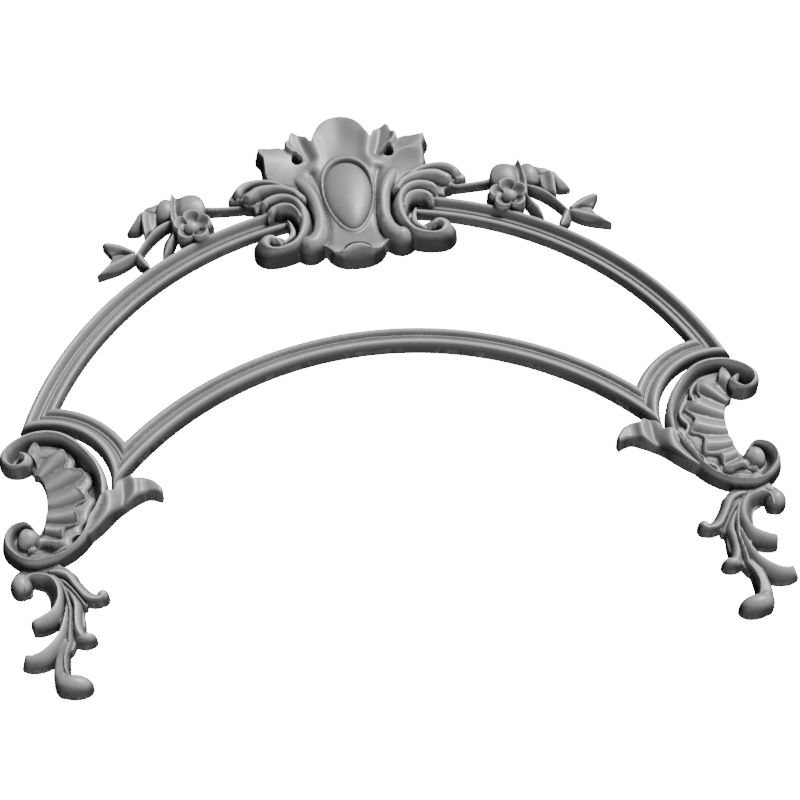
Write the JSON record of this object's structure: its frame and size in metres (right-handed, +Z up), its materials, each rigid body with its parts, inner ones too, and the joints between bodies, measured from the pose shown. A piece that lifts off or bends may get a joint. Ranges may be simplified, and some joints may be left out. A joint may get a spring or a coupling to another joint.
{
  "type": "carved decorative onlay",
  "caption": "Large arched crest onlay: a moulded crescent frame with a leafy cartouche and flower sprays on top, scrolled shells at its feet and leaf drops below; flat back.",
  "frame": {"origin": "on the flat back face, on the centre line, behind the oval boss of the cartouche", "axes": "+X to the right as seen from the front, +Z up, +Y out of the flat back towards the surface it is fixed to; the carved face looks towards -Y"},
  "size_m": [1.2584, 0.0481, 1.1122],
  "materials": {
    "grey_primer": "satin grey primer on carved hardwood"
  },
  "bodies": {
    "root": {"carved_crest": "grey_primer"}
  },
  "joints": []
}
